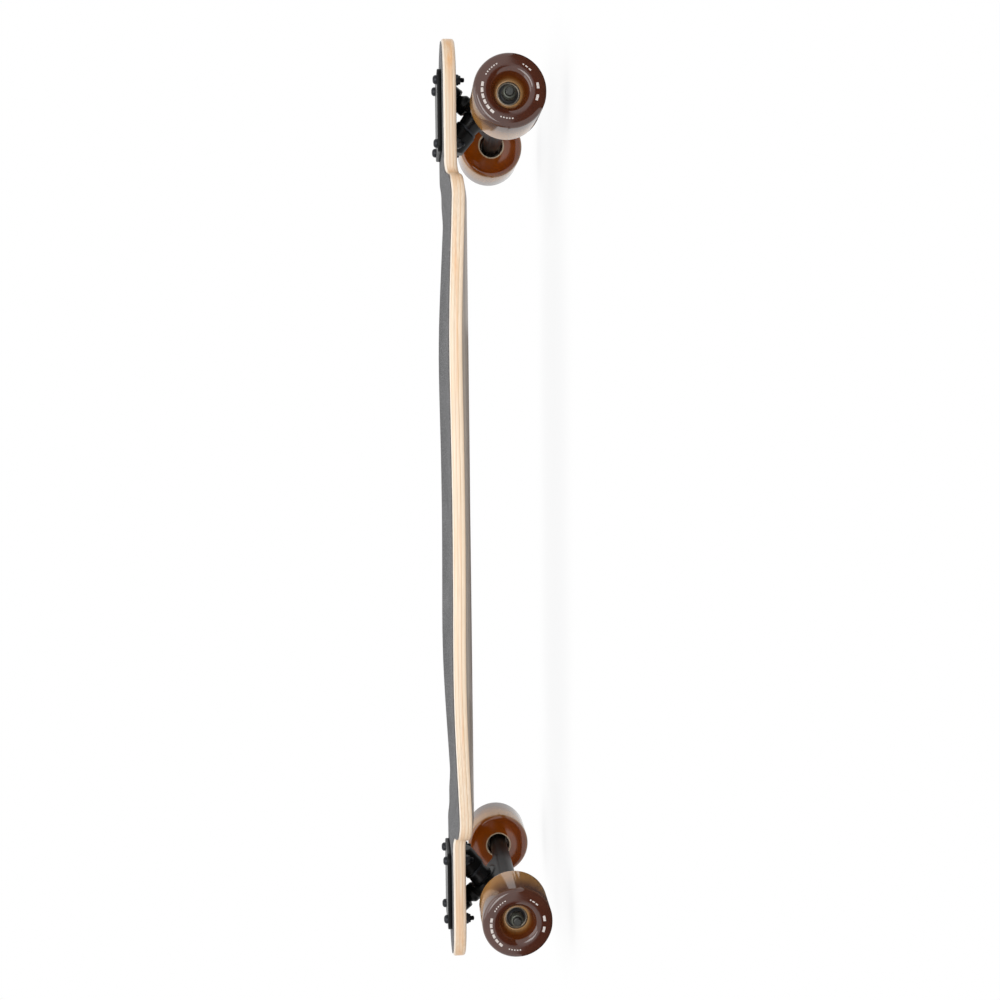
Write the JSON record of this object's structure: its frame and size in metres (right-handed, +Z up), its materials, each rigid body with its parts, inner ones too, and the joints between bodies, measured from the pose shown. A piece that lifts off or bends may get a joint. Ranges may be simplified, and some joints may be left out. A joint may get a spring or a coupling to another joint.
{
  "type": "longboard skateboard",
  "caption": "Drop-through longboard: dished maple deck with gritty top, steering trucks on sprung hangers and wide translucent wheels on ball bearings.",
  "frame": {"origin": "on the ground under the middle of the deck", "axes": "+X to the nose, +Y to the rider's left when facing the nose, +Z up from the ground"},
  "size_m": [0.965, 0.26, 0.1022],
  "materials": {
    "deck_maple": "pressed maple plies, clear varnish on the edge, brown-stained underside",
    "grip": "grey gritty abrasive sheet",
    "truck_casting": "cast, satin black coating",
    "cup_plastic": "moulded black nylon",
    "dark_steel": "black oxide",
    "bushing_urethane": "poured black urethane, semi-gloss",
    "axle_steel": "bare steel",
    "black_hardware": "black oxide",
    "wheel_urethane": "poured translucent amber-brown urethane, glossy",
    "bearing_steel": "polished bearing steel",
    "bearing_shield": "pressed black cover"
  },
  "bodies": {
    "board": {"deck": "deck_maple", "grip_sheet": "grip", "front_baseplate": "truck_casting", "front_pivot_cup": "cup_plastic", "front_kingpin": "dark_steel", "front_kingpin_nut": "dark_steel", "front_boardside_washer": "dark_steel", "front_roadside_washer": "dark_steel", "front_boardside_bushing": "bushing_urethane", "front_roadside_bushing": "bushing_urethane", "front_mounting_bolts": "black_hardware", "front_mounting_nuts": "black_hardware", "rear_baseplate": "truck_casting", "rear_pivot_cup": "cup_plastic", "rear_kingpin": "dark_steel", "rear_kingpin_nut": "dark_steel", "rear_boardside_washer": "dark_steel", "rear_roadside_washer": "dark_steel", "rear_boardside_bushing": "bushing_urethane", "rear_roadside_bushing": "bushing_urethane", "rear_mounting_bolts": "black_hardware", "rear_mounting_nuts": "black_hardware"},
    "front_hanger_set": {"front_hanger": "truck_casting", "front_axle": "axle_steel", "front_speed_washers": "axle_steel", "front_axle_nuts": "dark_steel", "front_left_inner_races": "bearing_steel", "front_left_bearing_spacer": "axle_steel", "front_right_inner_races": "bearing_steel", "front_right_bearing_spacer": "axle_steel"},
    "front_left_wheel_set": {"front_left_wheel": "wheel_urethane", "front_left_outer_races": "bearing_steel", "front_left_bearing_balls": "bearing_steel", "front_left_bearing_retainers": "cup_plastic", "front_left_bearing_shields": "bearing_shield"},
    "front_right_wheel_set": {"front_right_wheel": "wheel_urethane", "front_right_outer_races": "bearing_steel", "front_right_bearing_balls": "bearing_steel", "front_right_bearing_retainers": "cup_plastic", "front_right_bearing_shields": "bearing_shield"},
    "rear_hanger_set": {"rear_hanger": "truck_casting", "rear_axle": "axle_steel", "rear_speed_washers": "axle_steel", "rear_axle_nuts": "dark_steel", "rear_left_inner_races": "bearing_steel", "rear_left_bearing_spacer": "axle_steel", "rear_right_inner_races": "bearing_steel", "rear_right_bearing_spacer": "axle_steel"},
    "rear_left_wheel_set": {"rear_left_wheel": "wheel_urethane", "rear_left_outer_races": "bearing_steel", "rear_left_bearing_balls": "bearing_steel", "rear_left_bearing_retainers": "cup_plastic", "rear_left_bearing_shields": "bearing_shield"},
    "rear_right_wheel_set": {"rear_right_wheel": "wheel_urethane", "rear_right_outer_races": "bearing_steel", "rear_right_bearing_balls": "bearing_steel", "rear_right_bearing_retainers": "cup_plastic", "rear_right_bearing_shields": "bearing_shield"}
  },
  "joints": [
    {"name": "front_steer", "type": "hinge", "parent": "board", "child": "front_hanger_set", "pos_m": [0.4062, 0, 0.0561], "axis": [0.6428, 0, 0.766], "range_deg": [-15, 15], "stiffness_Nm_per_rad": 40, "deforming": ["front_boardside_bushing", "front_roadside_bushing"]},
    {"name": "front_left_spin", "type": "hinge", "parent": "front_hanger_set", "child": "front_left_wheel_set", "pos_m": [0.3969, 0.105, 0.0345], "axis": [0, 1, 0], "continuous": true},
    {"name": "front_right_spin", "type": "hinge", "parent": "front_hanger_set", "child": "front_right_wheel_set", "pos_m": [0.3969, -0.105, 0.0345], "axis": [0, 1, 0], "continuous": true},
    {"name": "rear_steer", "type": "hinge", "parent": "board", "child": "rear_hanger_set", "pos_m": [-0.4062, 0, 0.0561], "axis": [-0.6428, 0, 0.766], "range_deg": [-15, 15], "stiffness_Nm_per_rad": 40, "deforming": ["rear_boardside_bushing", "rear_roadside_bushing"]},
    {"name": "rear_left_spin", "type": "hinge", "parent": "rear_hanger_set", "child": "rear_left_wheel_set", "pos_m": [-0.3969, 0.105, 0.0345], "axis": [0, 1, 0], "continuous": true},
    {"name": "rear_right_spin", "type": "hinge", "parent": "rear_hanger_set", "child": "rear_right_wheel_set", "pos_m": [-0.3969, -0.105, 0.0345], "axis": [0, 1, 0], "continuous": true}
  ]
}
